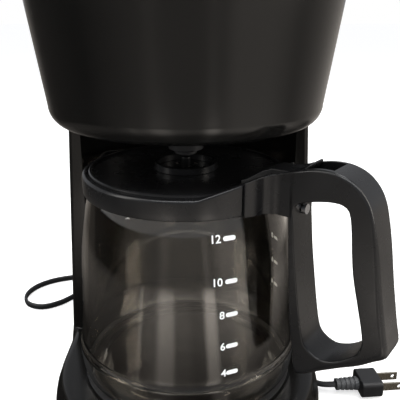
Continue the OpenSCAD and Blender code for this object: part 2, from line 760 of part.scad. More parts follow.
module carafe_handle() {
    color(black) centred() difference() {
        union() {
            at_handle() translate([0, handle_w / 2, 0]) rotate([90, 0, 0]) linear_extrude(handle_w)
                difference() {
                    polygon(handle_outer);
                    polygon(handle_inner);
                }
            difference() {
                at_handle() rotate(-bracket_span / 2) rotate_extrude(angle = bracket_span, $fn = 128)
                    translate([neck_r + 3.9, collar_low + 0.5]) square([3, 28]);
                above_rise();
            }
        }
        translate([0, 0, collar_low - 1]) cylinder(r = neck_r + 3.8, h = 30);
        hinge_slot();
        at_handle() {
            translate([handle_hinge.x, -handle_w / 2 - 1, handle_hinge.y]) rotate([-90, 0, 0])
                cylinder(r = pin_r + pin_fit, h = handle_w + 2);
            translate([neck_r, 0, screw_z]) rotate([0, 90, 0]) cylinder(r = 1.6, h = 30);
        }
    }
}

module handle_screw() {
    color(steel) centred() at_handle() translate([neck_r + 1.2, 0, screw_z]) rotate([0, 90, 0]) {
        cylinder(r = 1.55, h = 21);
        translate([0, 0, 20.3]) cylinder(r = 3, h = 2.4);
    }
}

module carafe_hinge_pin() {
    color(steel) centred() at_handle() translate([handle_hinge.x, -handle_w / 2, handle_hinge.y])
        rotate([-90, 0, 0]) cylinder(r = pin_r, h = handle_w);
}

module carafe_lid() {
    rest = collar_top - 2 + 0.3;
    lug_w = 16;
    // Side view of the hinge piece with its thumb tab, from the middle of the lid to the tab's tip
    lug = above_rim([[46, 3.3], [59.4, 3.3], [61.5, 4.8], [72, 4.8], [75, 5.4], [76.3, 7.2],
        [84, 12.5], [90, 19], [94, 25], [92.8, 26.2], [90.5, 24.6], [87.5, 20.6], [84, 17.8],
        [79, 16.6], [66, 16.4], [60, 14], [50, 7.5], [46, 6]]);
    color("#1c1d21") centred() difference() {
        union() {
            translate([0, 0, rest]) cylinder(r = neck_r - 0.3, h = 2, $fn = 128);
            ring(neck_r - 6, neck_r - 4, rest - 8, rest + 1);
            ring(18, 20, rest + 1, lid_pad_z - 3);
            translate([0, 0, rest + 1]) cylinder(r = 3, h = lid_pad_z - rest - 1);
            at_handle() translate([0, lug_w / 2, 0]) rotate([90, 0, 0]) linear_extrude(lug_w) polygon(lug);
        }
        for (a = [0 : 60 : 300]) rotate(a) translate([12, 0, rest - 1]) cylinder(r = 2.2, h = 4);
        at_handle() translate([handle_hinge.x, -lug_w, handle_hinge.y]) rotate([-90, 0, 0])
            cylinder(r = pin_r + pin_fit, h = 2 * lug_w);
    }
}

base_housing();
bottom_cover();
rubber_feet();
cover_screws();
tower_shell();
head_shell();
top_deck();
hinge_block();
lid_hinge_pin();
water_tank();
check_valve();
inlet_hose();
heater_casting();
heater_clamp();
clamp_nut();
thermostat();
thermal_fuse();
riser_tube();
hose_clamps();
riser_seal();
warming_plate();
plate_gasket();
switch_housing();
rocker_pin();
strain_relief();
power_cord();
plug_body();
plug_blades();
top_lid();
lid_liner();
spray_head();
brew_basket();
drip_plunger();
valve_seal();
drip_spring();
switch_rocker();
switch_lens();
glass_jug();
carafe_collar();
carafe_handle();
handle_screw();
carafe_hinge_pin();
carafe_lid();
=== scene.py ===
from math import atan2, cos, hypot, pi, radians, sin

import bmesh
import bpy
from mathutils import Matrix, Vector


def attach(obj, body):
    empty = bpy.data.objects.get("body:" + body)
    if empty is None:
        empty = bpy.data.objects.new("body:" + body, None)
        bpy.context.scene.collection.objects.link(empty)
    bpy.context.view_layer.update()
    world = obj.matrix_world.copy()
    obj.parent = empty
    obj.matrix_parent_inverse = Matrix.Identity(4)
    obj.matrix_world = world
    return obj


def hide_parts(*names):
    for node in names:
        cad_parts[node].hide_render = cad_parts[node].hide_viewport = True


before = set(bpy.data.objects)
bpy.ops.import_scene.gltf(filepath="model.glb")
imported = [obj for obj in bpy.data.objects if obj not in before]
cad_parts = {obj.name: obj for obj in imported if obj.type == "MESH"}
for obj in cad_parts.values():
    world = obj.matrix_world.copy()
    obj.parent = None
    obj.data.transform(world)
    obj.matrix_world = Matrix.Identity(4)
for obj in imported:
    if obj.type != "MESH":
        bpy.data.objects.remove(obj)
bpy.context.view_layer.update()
print("frame loaded")

# Shapes are drawn in millimetres round the jug's axis, with the front at -Y
jugAxis = Vector((-0.01112936, -0.02886121, 0))
intoPlace = Matrix.Translation(jugAxis) @ Matrix.Scale(0.001, 4)
scene = bpy.context.scene

# place in metres, turns in degrees, focal length, sensor and near and far limits as the camera takes them
cameraSettings = {"place": (0.0029, -0.3789, 0.2880), "pitch": 18.9, "yaw": -0.85, "roll": -0.05,
                  "focal": 51.4, "sensor": 36, "near": 0.01, "far": 30}


def setCamera():
    data = bpy.data.cameras.new("camera")
    data.lens = cameraSettings["focal"]
    data.sensor_width = cameraSettings["sensor"]
    data.clip_start = cameraSettings["near"]
    data.clip_end = cameraSettings["far"]
    camera = bpy.data.objects.new("camera", data)
    scene.collection.objects.link(camera)
    turn = Matrix.Rotation(radians(-cameraSettings["yaw"]), 4, "Z")
    tilt = Matrix.Rotation(radians(90 - cameraSettings["pitch"]), 4, "X")
    lean = Matrix.Rotation(radians(cameraSettings["roll"]), 4, "Z")
    camera.matrix_world = Matrix.Translation(cameraSettings["place"]) @ turn @ tilt @ lean
    scene.camera = camera


setCamera()
scene.view_settings.view_transform = "Standard"


def smoothLine(points, cuts):
    # points along a soft curve through the given ones
    line = []
    last = len(points) - 1
    for i in range(last):
        a, b, c, d = (Vector(points[min(max(k, 0), last)]) for k in (i - 1, i, i + 1, i + 2))
        for k in range(cuts):
            t = k / cuts
            line.append(b + t * (c - a) / 2 + t * t * (a - 2.5 * b + 2 * c - d / 2)
                        + t ** 3 * (1.5 * (b - c) + (d - a) / 2))
    line.append(Vector(points[last]))
    return line


def chain(bm, points, closed=False):
    verts = [bm.verts.new(p) for p in points]
    edges = [bm.edges.new(pair) for pair in zip(verts, verts[1:])]
    if closed:
        edges.append(bm.edges.new((verts[-1], verts[0])))
    return verts, edges


def spunRound(bm, outline, steps=128):
    verts, edges = chain(bm, [(r, 0, z) for r, z in outline])
    bmesh.ops.spin(bm, geom=verts + edges, cent=(0, 0, 0), axis=(0, 0, 1), angle=2 * pi, steps=steps,
                   use_merge=True)
    bmesh.ops.remove_doubles(bm, verts=bm.verts, dist=0.002)


def tidyNormals(bm):
    bmesh.ops.remove_doubles(bm, verts=bm.verts, dist=0.002)
    bmesh.ops.recalc_face_normals(bm, faces=bm.faces)


def arcLine(centre, radius, start, end, count):
    return [(centre[0] + radius * cos(radians(start + (end - start) * k / count)),
             centre[1] + radius * sin(radians(start + (end - start) * k / count))) for k in range(count + 1)]


def edgesWhere(bm, test):
    return [e for e in bm.edges if all(test(v.co) for v in e.verts)]


def uprights(bm, tall):
    return [e for e in bm.edges if abs(e.verts[0].co.z - e.verts[1].co.z) > tall]


def newVerts(grown):
    return [g for g in grown if isinstance(g, bmesh.types.BMVert)]


def newRim(grown, verts):
    # the edges at the far end of what an extrusion made
    return [g for g in grown if isinstance(g, bmesh.types.BMEdge) and all(v in verts for v in g.verts)]


def roundEdges(bm, edges, radius, segments):
    bmesh.ops.bevel(bm, geom=edges, offset=radius, affect="EDGES", segments=segments, profile=0.5,
                    material=-1)


def prism(bm, outline, low, high):
    # a flat outline in X and Y carried up from low to high
    start = [bm.verts.new((x, y, low)) for x, y in outline]
    face = bm.faces.new(start)
    grown = bmesh.ops.extrude_face_region(bm, geom=[face])["geom"]
    bmesh.ops.translate(bm, vec=(0, 0, high - low), verts=newVerts(grown))
    return newVerts(grown)


def block(bm, low, high):
    verts = bmesh.ops.create_cube(bm, size=1)["verts"]
    bmesh.ops.scale(bm, vec=[b - a for a, b in zip(low, high)], verts=verts)
    bmesh.ops.translate(bm, vec=[(a + b) / 2 for a, b in zip(low, high)], verts=verts)
    return verts


def barrel(bm, place, along, radius, length, sides=48):
    # a round rod centred on place, lying along a direction
    verts = bmesh.ops.create_cone(bm, cap_ends=True, segments=sides, radius1=radius, radius2=radius,
                                  depth=length)["verts"]
    turn = Vector(along).to_track_quat("Z", "Y").to_matrix().to_4x4()
    bmesh.ops.transform(bm, matrix=Matrix.Translation(place) @ turn, verts=verts)
    return verts


def finishPiece(name, bm, body, finish, nodes=(), sharp=40, steps=(), cut=None, flat=True):
    # sets a piece in place, works its steps into its mesh and gives it its normals, finish and body
    bmesh.ops.transform(bm, matrix=intoPlace, verts=bm.verts)
    mesh = bpy.data.meshes.new(name)
    bm.to_mesh(mesh)
    bm.free()
    piece = bpy.data.objects.new(name, mesh)
    scene.collection.objects.link(piece)
    knife = None
    if cut:
        bmesh.ops.transform(cut, matrix=intoPlace, verts=cut.verts)
        bmesh.ops.recalc_face_normals(cut, faces=cut.faces)
        knife = bpy.data.objects.new("cutter", bpy.data.meshes.new("cutter"))
        cut.to_mesh(knife.data)
        cut.free()
        scene.collection.objects.link(knife)
    for kind, settings in steps:
        step = piece.modifiers.new(kind.lower(), kind)
        if kind == "BOOLEAN":
            step.object = knife
        for key, value in settings.items():
            setattr(step, key, value)
    if steps:
        worked = bpy.data.meshes.new_from_object(piece.evaluated_get(bpy.context.evaluated_depsgraph_get()))
        piece.modifiers.clear()
        piece.data = worked
        worked.name = name
        bpy.data.meshes.remove(mesh)
    if knife:
        bpy.data.objects.remove(knife)
    piece.data.shade_smooth()
    piece.data.set_sharp_from_angle(angle=radians(sharp))
    if flat:
        normals = piece.modifiers.new("flatNormals", "WEIGHTED_NORMAL")
        normals.keep_sharp = True
    piece.data.materials.clear()
    piece.data.materials.append(finish)
    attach(piece, body)
    if nodes:
        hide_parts(*nodes)
    return piece


def wallOf(thickness):
    return ("SOLIDIFY", {"thickness": thickness / 1000, "offset": -1, "use_even_offset": True})


def softEdges(width, segments=2, angle=35):
    return ("BEVEL", {"width": width / 1000, "segments": segments, "limit_method": "ANGLE",
                      "angle_limit": radians(angle)})


carve = ("BOOLEAN", {"operation": "DIFFERENCE", "solver": "EXACT"})


def startFinish(name):
    finish = bpy.data.materials.new(name)
    finish.use_nodes = True
    nodes, links = finish.node_tree.nodes, finish.node_tree.links
    return finish, nodes, links, nodes["Principled BSDF"]


def noiseOn(nodes, links, scale, detail):
    place = nodes.new("ShaderNodeTexCoord")
    noise = nodes.new("ShaderNodeTexNoise")
    noise.inputs["Scale"].default_value = scale
    noise.inputs["Detail"].default_value = detail
    links.new(place.outputs["Object"], noise.inputs["Vector"])
    return noise.outputs["Fac"]


def spreadOf(nodes, links, source, low, high, fromLow=0.3, fromHigh=0.7):
    spread = nodes.new("ShaderNodeMapRange")
    spread.inputs["From Min"].default_value = fromLow
    spread.inputs["From Max"].default_value = fromHigh
    spread.inputs["To Min"].default_value = low
    spread.inputs["To Max"].default_value = high
    links.new(source, spread.inputs["Value"])
    return spread.outputs["Result"]


def rampOf(nodes, links, source, stops):
    ramp = nodes.new("ShaderNodeValToRGB")
    elements = ramp.color_ramp.elements
    while len(elements) < len(stops):
        elements.new(0.5)
    for element, (at, colour) in zip(elements, stops):
        element.position = at
        element.color = (*colour, 1)
    links.new(source, ramp.inputs["Fac"])
    return ramp.outputs["Color"]


def blendOf(nodes, links, source, colourA, colourB):
    return rampOf(nodes, links, source, [(0.3, colourA), (0.7, colourB)])


def bumpOf(nodes, links, source, depth, strength=1):
    bump = nodes.new("ShaderNodeBump")
    bump.inputs["Strength"].default_value = strength
    bump.inputs["Distance"].default_value = depth
    links.new(source, bump.inputs["Height"])
    return bump.outputs["Normal"]


def surfaceFinish(name, settings):
    # moulded, cast or rolled surfaces: two close colours, uneven gloss and a fine grain
    finish, nodes, links, shader = startFinish(name)
    patches, smudges, grain = (noiseOn(nodes, links, settings[key], detail)
                               for key, detail in (("patch", 4), ("smudge", 5), ("grain", 2)))
    links.new(blendOf(nodes, links, patches, settings["colour"], settings["other"]),
              shader.inputs["Base Color"])
    links.new(spreadOf(nodes, links, smudges, settings["glossy"], settings["dull"]),
              shader.inputs["Roughness"])
    links.new(bumpOf(nodes, links, grain, settings["depth"]), shader.inputs["Normal"])
    shader.inputs["Metallic"].default_value = settings.get("metal", 0)
    shader.inputs["Specular IOR Level"].default_value = settings.get("shine", 0.5)
    # painted glow: the finish shines faintly in its own colour, standing in for the light that thin paint
    # scatters behind the glass
    shader.inputs["Emission Color"].default_value = (*settings["colour"], 1)
    shader.inputs["Emission Strength"].default_value = settings.get("paintedGlow", 0)
    return finish


finishes = {
    "housingBlack": {"colour": (0.0045, 0.0043, 0.004), "other": (0.006, 0.0057, 0.0053), "patch": 22,
                     "smudge": 30, "glossy": 0.15, "dull": 0.2, "grain": 900, "depth": 0.000002,
                     "shine": 0.33},
    "innerBlack": {"colour": (0.014, 0.014, 0.015), "other": (0.022, 0.022, 0.023), "patch": 60,
                   "smudge": 80, "glossy": 0.42, "dull": 0.6, "grain": 2200, "depth": 0.00002},
    "tankSmoke": {"colour": (0.04, 0.043, 0.047), "other": (0.055, 0.058, 0.062), "patch": 30,
                  "smudge": 50, "glossy": 0.12, "dull": 0.25, "grain": 900, "depth": 0.00001},
    "jugBlack": {"colour": (0.006, 0.006, 0.0065), "other": (0.009, 0.009, 0.0095), "patch": 40,
                 "smudge": 60, "glossy": 0.24, "dull": 0.32, "grain": 1500, "depth": 0.000004,
                 "shine": 0.4},
    "plateCoat": {"colour": (0.012, 0.012, 0.013), "other": (0.02, 0.02, 0.021), "patch": 90, "smudge": 70,
                  "glossy": 0.3, "dull": 0.5, "grain": 3000, "depth": 0.00003},
    "heaterAluminium": {"colour": (0.42, 0.43, 0.44), "other": (0.6, 0.61, 0.62), "patch": 160,
                        "smudge": 200, "glossy": 0.35, "dull": 0.55, "grain": 1600, "depth": 0.00008,
                        "metal": 1},
    "steel": {"colour": (0.5, 0.51, 0.53), "other": (0.62, 0.63, 0.65), "patch": 120, "smudge": 300,
              "glossy": 0.2, "dull": 0.38, "grain": 2600, "depth": 0.00001, "metal": 1},
    "bladeMetal": {"colour": (0.62, 0.57, 0.46), "other": (0.75, 0.7, 0.58), "patch": 250, "smudge": 400,
                   "glossy": 0.16, "dull": 0.32, "grain": 2600, "depth": 0.00001, "metal": 1},
    "cordRubber": {"colour": (0.008, 0.008, 0.009), "other": (0.014, 0.014, 0.015), "patch": 80,
                   "smudge": 120, "glossy": 0.4, "dull": 0.55, "grain": 2400, "depth": 0.00002},
    "feetRubber": {"colour": (0.02, 0.02, 0.021), "other": (0.035, 0.035, 0.036), "patch": 90,
                   "smudge": 120, "glossy": 0.6, "dull": 0.8, "grain": 2600, "depth": 0.00004},
    "hoseSilicone": {"colour": (0.6, 0.58, 0.53), "other": (0.7, 0.68, 0.63), "patch": 60, "smudge": 90,
                     "glossy": 0.35, "dull": 0.5, "grain": 1500, "depth": 0.00002},
    "sealSilicone": {"colour": (0.4, 0.14, 0.09), "other": (0.48, 0.18, 0.11), "patch": 120, "smudge": 160,
                     "glossy": 0.4, "dull": 0.55, "grain": 2000, "depth": 0.00002},
    "ceramic": {"colour": (0.68, 0.65, 0.57), "other": (0.78, 0.75, 0.67), "patch": 120, "smudge": 160,
                "glossy": 0.45, "dull": 0.6, "grain": 2400, "depth": 0.00003},
    "lensRed": {"colour": (0.5, 0.04, 0.02), "other": (0.62, 0.07, 0.03), "patch": 300, "smudge": 300,
                "glossy": 0.1, "dull": 0.2, "grain": 1500, "depth": 0.00001},
    "sleeveGrey": {"colour": (0.05, 0.052, 0.055), "other": (0.075, 0.077, 0.08), "patch": 120,
                   "smudge": 160, "glossy": 0.4, "dull": 0.55, "grain": 2400, "depth": 0.00002},
    # the cup marks carry a faint painted glow
    "markWhite": {"colour": (0.78, 0.8, 0.79), "other": (0.88, 0.89, 0.88), "patch": 400, "smudge": 500,
                  "glossy": 0.4, "dull": 0.55, "grain": 4000, "depth": 0.00001, "paintedGlow": 0.3},
}
made = {name: surfaceFinish(name, settings) for name, settings in finishes.items()}


# each noise: its scale and its detail
glassLook = {"colour": (0.93, 0.9, 0.85), "other": (0.9, 0.87, 0.82), "bends": 1.47, "dull": 0.012,
             "patch": (12, 3), "smudge": (40, 4), "wave": (9, 1), "waveDepth": 0.00006, "waveShare": 0.5}


def glassFinish():
    # clear glass with a faint tint, traces of wiping and a slightly wavy surface
    finish, nodes, links, shader = startFinish("jugGlass")
    shader.inputs["Transmission Weight"].default_value = 1
    shader.inputs["IOR"].default_value = glassLook["bends"]
    patches, smudges, waves = (noiseOn(nodes, links, *glassLook[key]) for key in ("patch", "smudge", "wave"))
    links.new(blendOf(nodes, links, patches, glassLook["colour"], glassLook["other"]),
              shader.inputs["Base Color"])
    links.new(spreadOf(nodes, links, smudges, 0, glassLook["dull"]), shader.inputs["Roughness"])
    links.new(bumpOf(nodes, links, waves, glassLook["waveDepth"], glassLook["waveShare"]),
              shader.inputs["Normal"])
    return finish


made["jugGlass"] = glassFinish()

nodeFinish = {
    "housingBlack": ["base_housing", "tower_shell", "head_shell", "hinge_block", "top_lid"],
    "innerBlack": ["bottom_cover", "top_deck", "switch_housing", "lid_liner", "spray_head", "brew_basket",
                   "drip_plunger", "switch_rocker"],
    "tankSmoke": ["water_tank"],
    "jugBlack": ["carafe_collar", "carafe_handle", "carafe_lid"],
    "jugGlass": ["glass_jug"],
    "plateCoat": ["warming_plate"],
    "heaterAluminium": ["heater_casting"],
    "steel": ["cover_screws", "lid_hinge_pin", "heater_clamp", "clamp_nut", "thermal_fuse", "hose_clamps",
              "rocker_pin", "drip_spring", "handle_screw", "carafe_hinge_pin"],
    "bladeMetal": ["plug_blades"],
    "cordRubber": ["strain_relief", "power_cord", "plug_body"],
    "feetRubber": ["rubber_feet", "plate_gasket"],
    "hoseSilicone": ["inlet_hose", "riser_tube", "riser_seal"],
    "sealSilicone": ["valve_seal"],
    "ceramic": ["check_valve", "thermostat"],
    "lensRed": ["switch_lens"],
}
for finishName, nodeNames in nodeFinish.items():
    for nodeName in nodeNames:
        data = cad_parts[nodeName].data
        data.materials.clear()
        data.materials.append(made[finishName])
print("finishes made")


# the sleeve has its half width and height at the thin end, and the share of them left in a groove
plug = {"at": (114, 26, 8), "turn": 6, "relief": 18, "body": 16, "ribs": 5, "ribShare": 0.55, "groove": 0.86,
        "half": (5.0, 4.3), "grow": 1.0, "bodyHalf": (11.6, 6.4), "round": 3.2, "overlap": 0.5, "edge": 1.1}


def atPlug():
    return (Matrix.Translation(plug["at"]) @ Matrix.Rotation(radians(plug["turn"]), 4, "Z")
            @ Matrix.Rotation(pi / 2, 4, "Y") @ Matrix.Rotation(pi / 2, 4, "Z"))


def makePlug():
    # the ribbed sleeve grows toward the plug, ring by ring
    bm = bmesh.new()
    ring = bmesh.ops.create_circle(bm, segments=40, radius=1, cap_ends=True)["verts"]
    bmesh.ops.scale(bm, vec=(*plug["half"], 1), verts=ring)
    edges = list(bm.edges)
    pitch = plug["relief"] / plug["ribs"]
    rib, groove = pitch * plug["ribShare"], plug["groove"]
    size = plug["half"]
    for k in range(plug["ribs"]):
        for step, share in ((rib, 1), (0, groove), (pitch - rib, groove), (0, 1)):
            grown = bmesh.ops.extrude_edge_only(bm, edges=edges)["geom"]
            verts = newVerts(grown)
            edges = newRim(grown, verts)
            now = [(s + plug["grow"] * k / plug["ribs"]) * share for s in plug["half"]]
            bmesh.ops.translate(bm, vec=(0, 0, step), verts=verts)
            bmesh.ops.scale(bm, vec=(now[0] / size[0], now[1] / size[1], 1), verts=verts)
            size = now
    bmesh.ops.contextual_create(bm, geom=edges)
    tidyNormals(bm)
    bmesh.ops.transform(bm, matrix=atPlug(), verts=bm.verts)
    sleeve = finishPiece("plugSleeve", bm, "machine", made["sleeveGrey"], sharp=50)
    bm = bmesh.new()
    halfX, halfY = plug["bodyHalf"]
    low, high = plug["relief"] - plug["overlap"], plug["relief"] + plug["body"]
    block(bm, (-halfX, -halfY, low), (halfX, halfY, high))
    roundEdges(bm, uprights(bm, 1), plug["round"], 6)
    tidyNormals(bm)
    bmesh.ops.transform(bm, matrix=atPlug(), verts=bm.verts)
    body = finishPiece("plugBody", bm, "machine", made["cordRubber"], ["plug_body"], sharp=35,
                       steps=[softEdges(plug["edge"], 3, 40)])
    print("plug made")
    return [sleeve, body]


# the route in metres from the jug's axis; the flat lead stands on its edge over a share of its length
cord = {"width": 0.0062, "thickness": 0.0032, "sides": 12, "cuts": 4,
        "edgeFrom": 0.1, "edgeTo": 0.5, "twist": 0.06,
        "route": [
            (-0.070, 0.178, 0.020), (-0.071, 0.190, 0.018), (-0.079, 0.201, 0.012), (-0.093, 0.204, 0.006),
            (-0.108, 0.194, 0.003), (-0.122, 0.176, 0.002), (-0.134, 0.160, 0.002), (-0.150, 0.151, 0.002),
            (-0.166, 0.157, 0.002), (-0.173, 0.174, 0.002), (-0.168, 0.193, 0.002), (-0.153, 0.208, 0.002),
            (-0.130, 0.217, 0.002), (-0.100, 0.222, 0.002), (-0.065, 0.224, 0.002), (-0.030, 0.224, 0.002),
            (0.005, 0.222, 0.002), (0.040, 0.216, 0.002), (0.072, 0.204, 0.002), (0.094, 0.184, 0.002),
            (0.104, 0.158, 0.002), (0.103, 0.128, 0.002), (0.099, 0.098, 0.002), (0.095, 0.070, 0.002),
            (0.0945, 0.046, 0.0025), (0.097, 0.036, 0.004), (0.104, 0.0287, 0.006), (0.114, 0.026, 0.008)]}


def makeCord():
    line = [p + jugAxis for p in smoothLine(cord["route"], cord["cuts"])]
    bm = bmesh.new()
    half, thick = cord["width"] / 2, cord["thickness"] / 2
    turns = [2 * pi * k / cord["sides"] for k in range(cord["sides"])]
    verts, edges = chain(bm, [(half * cos(a), thick * sin(a), 0) for a in turns], closed=True)
    before = Matrix.Identity(4)
    bmesh.ops.contextual_create(bm, geom=edges)
    for i, p in enumerate(line):
        along = (line[min(i + 1, len(line) - 1)] - line[max(i - 1, 0)]).normalized()
        side = along.cross(Vector((0, 0, 1))).normalized()
        share = i / (len(line) - 1)
        onEdge = min(share - cord["edgeFrom"], cord["edgeTo"] - share) / cord["twist"]
        onEdge = max(0, min(1, onEdge))
        side = Matrix.Rotation(onEdge * pi / 2, 3, along) @ side
        now = Matrix((side, side.cross(along), along)).transposed().to_4x4()
        now.translation = p + Vector((0, 0, onEdge * (half - thick)))
        if i:
            grown = bmesh.ops.extrude_edge_only(bm, edges=edges)["geom"]
            verts = newVerts(grown)
            edges = newRim(grown, verts)
        bmesh.ops.transform(bm, matrix=now @ before.inverted(), verts=verts)
        before = now
    bmesh.ops.contextual_create(bm, geom=edges)
    bmesh.ops.recalc_face_normals(bm, faces=bm.faces)
    bmesh.ops.transform(bm, matrix=intoPlace.inverted(), verts=bm.verts)
    piece = finishPiece("powerCord", bm, "machine", made["cordRubber"], ["power_cord"])
    makePlug() + [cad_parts[n] for n in ("plug_blades", "strain_relief")]


makeCord()


def pullBack(bm, ends, y, section):
    # carries both ends of a bowed wall back to y, where it takes another section
    grown = bmesh.ops.extrude_edge_only(bm, edges=ends)["geom"]
    fresh = newVerts(grown)
    for side in (1, -1):
        row = sorted((v for v in fresh if v.co.x * side > 0), key=lambda v: v.co.z)
        for v, (x, z) in zip(row, section):
            v.co = (side * x, y, z)
    return newRim(grown, fresh)


def bowedSkin(bm, settings):
    # a wall that runs round the front in an arc and straight back along both sides
    centreY, front, rear = settings["centreY"], settings["front"], settings["rear"]
    verts, edges = chain(bm, [(x, centreY, z) for x, z in front])
    bmesh.ops.spin(bm, geom=verts + edges, cent=(0, centreY, 0), axis=(0, 0, 1), angle=-pi,
                   steps=settings["steps"])
    ends = edgesWhere(bm, lambda p: abs(p.y - centreY) < 0.001 and abs(p.x) > 1)
    if rear is not front:
        ends = pullBack(bm, ends, settings["turnY"] - 2, front)
        ends = pullBack(bm, ends, settings["turnY"] + 2, rear)
    ends = pullBack(bm, ends, settings["backY"], rear)
    bmesh.ops.bridge_loops(bm, edges=ends)
    corners = edgesWhere(bm, lambda p: abs(p.y - settings["backY"]) < 0.001)
    corners = [e for e in corners if e.verts[0].co.x * e.verts[1].co.x > 0]
    roundEdges(bm, corners, settings["corner"], 4)


def coverLoop(bm, z, holeRadius=0):
    # closes the skin's open edge at height z, round a hole on the jug's axis if there is one
    rim = [e for e in edgesWhere(bm, lambda p: abs(p.z - z) < 0.001) if len(e.link_faces) == 1]
    if not holeRadius:
        return bmesh.ops.contextual_create(bm, geom=rim)["faces"]
    hole = bmesh.ops.create_circle(bm, segments=96, radius=holeRadius)["verts"]
    bmesh.ops.translate(bm, vec=(0, 0, z), verts=hole)
    rim += [e for e in bm.edges if all(v in hole for v in e.verts)]
    return bmesh.ops.triangle_fill(bm, edges=rim, use_beauty=True, normal=(0, 0, 1))["geom"]


base = {"centreY": 0, "turnY": 38, "backY": 155, "corner": 4, "steps": 96,
        "front": [(90, 3), (91.4, 8.5), (92.7, 14), (93.3, 18), (93.5, 22), (93.4, 26), (93.1, 30),
                  (92.4, 34), (91.5, 38)] + arcLine((83, 44), 6, 0, 90, 8)[1:],
        "rear": [(90, 3), (91.4, 8.5), (92.7, 14), (93.3, 18), (93.5, 22), (93.4, 26), (93.1, 30),
                 (92.6, 35), (92.25, 40), (92, 42), (91.8, 43.5), (91.6, 45), (91.4, 46.3), (91.25, 47.6),
                 (91.1, 48.8), (91.03, 49.5), (91, 50)],
        "top": 50, "plateHole": 68, "wall": 2.5,
        "boss": ((-17, -94.5, 12), (17, -89.5, 38)), "bossRound": 3.2, "bossEdge": 0.9,
        "switchHole": ((-10.6, -110, 15.6), (10.6, -80, 34.4))}


def switchCutter():
    cut = bmesh.new()
    block(cut, *base["switchHole"])
    return cut


def makeBase():
    bm = bmesh.new()
    bowedSkin(bm, base)
    coverLoop(bm, base["top"], base["plateHole"])
    tidyNormals(bm)
    finishPiece("baseShell", bm, "machine", made["housingBlack"], ["base_housing"],
                steps=[wallOf(base["wall"]), carve], cut=switchCutter())
    bm = bmesh.new()
    block(bm, *base["boss"])
    roundEdges(bm, [e for e in bm.edges if abs(e.verts[0].co.y - e.verts[1].co.y) > 1], base["bossRound"], 6)
    tidyNormals(bm)
    finishPiece("switchBoss", bm, "machine", made["housingBlack"],
                steps=[carve, softEdges(base["bossEdge"], 3)], cut=switchCutter())
    print("base made")


tower = {"half": 91, "halfTop": 82.6, "frontY": 38, "backY": 155, "nicheRadius": 84, "low": 50, "high": 219,
         "rearCorner": 5, "frontCorner": 3}


def makeTower():
    bm = bmesh.new()
    x = (tower["nicheRadius"] ** 2 - tower["frontY"] ** 2) ** 0.5
    start = atan2(tower["frontY"], x) * 180 / pi
    niche = arcLine((0, 0), tower["nicheRadius"], start, 180 - start, 64)
    outline = niche + [(-tower["half"], tower["frontY"]), (-tower["half"], tower["backY"]),
                       (tower["half"], tower["backY"]), (tower["half"], tower["frontY"])]
    top = prism(bm, outline, tower["low"], tower["high"])
    for v in top:
        if abs(v.co.x) > tower["half"] - 1:
            v.co.x *= tower["halfTop"] / tower["half"]
    ends = [f for f in bm.faces if abs(f.normal.z) > 0.9]
    bmesh.ops.delete(bm, geom=ends, context="FACES_ONLY")
    rear = [e for e in uprights(bm, 50) if e.verts[0].co.y > tower["backY"] - 5]
    roundEdges(bm, rear, tower["rearCorner"], 5)
    front = [e for e in uprights(bm, 50)
             if abs(e.verts[0].co.y - tower["frontY"]) < 0.01 and abs(e.verts[0].co.x) > 80]
    roundEdges(bm, front, tower["frontCorner"], 4)
    tidyNormals(bm)
    finishPiece("towerShell", bm, "machine", made["housingBlack"], ["tower_shell"])
    print("tower made")


head = {"centreY": 10, "turnY": 38, "backY": 155, "corner": 4, "steps": 128,
        "front": arcLine((71.494, 232), 13, -90, 0, 12) + [(89.6, 267), (97.07, 318.3)],
        "rear": [(82.6 + 16.9 * (z - 219) / 116, z) for z in
                 (219, 220, 221, 222, 223.2, 224.4, 225.6, 226.8, 228, 229, 230, 231, 232, 267, 318.3)],
        "bottom": 219, "spoutHole": 16, "wall": 2.5}


def makeHead():
    bm = bmesh.new()
    bowedSkin(bm, head)
    coverLoop(bm, head["bottom"], head["spoutHole"])
    tidyNormals(bm)
    finishPiece("headShell", bm, "machine", made["housingBlack"], ["head_shell"], sharp=30,
                steps=[wallOf(head["wall"])])
    print("head made")


lidFront = [(97.11, 318.6)] + arcLine((92.5, 328), 7, 0, 90, 10)
lid = {"centreY": 10, "turnY": 38, "backY": 132, "corner": 3, "steps": 128,
       "front": lidFront, "rear": lidFront, "top": 335, "panel": (9, 1.4, 0.9), "wall": 2.5,
       "knuckleX": 53, "knuckleHalf": 5, "knuckleRadius": 3.4, "knuckleEdge": 0.5,
       "armFrom": 130.5, "armHalf": 2.5, "pinY": 140, "pinZ": 329.5}


def makeLid():
    bm = bmesh.new()
    bowedSkin(bm, lid)
    top = coverLoop(bm, lid["top"])
    margin, slope, depth = lid["panel"]
    bmesh.ops.inset_region(bm, faces=top, thickness=margin, use_even_offset=True)
    bmesh.ops.inset_region(bm, faces=top, thickness=slope, depth=-depth, use_even_offset=True)
    tidyNormals(bm)
    finishPiece("topLid", bm, "lid", made["housingBlack"], ["top_lid"], sharp=30,
                steps=[wallOf(lid["wall"])])
    bm = bmesh.new()
    half, y, z = lid["knuckleHalf"], lid["pinY"], lid["pinZ"]
    for x in (-lid["knuckleX"], lid["knuckleX"]):
        barrel(bm, (x, y, z), (1, 0, 0), lid["knuckleRadius"], 2 * half)
        block(bm, (x - half, lid["armFrom"], z - lid["armHalf"]), (x + half, y, z + lid["armHalf"]))
    finishPiece("lidKnuckles", bm, "lid", made["housingBlack"],
                steps=[softEdges(lid["knuckleEdge"], 2)])
    print("lid made")


makeBase()
makeTower()
makeHead()
makeLid()


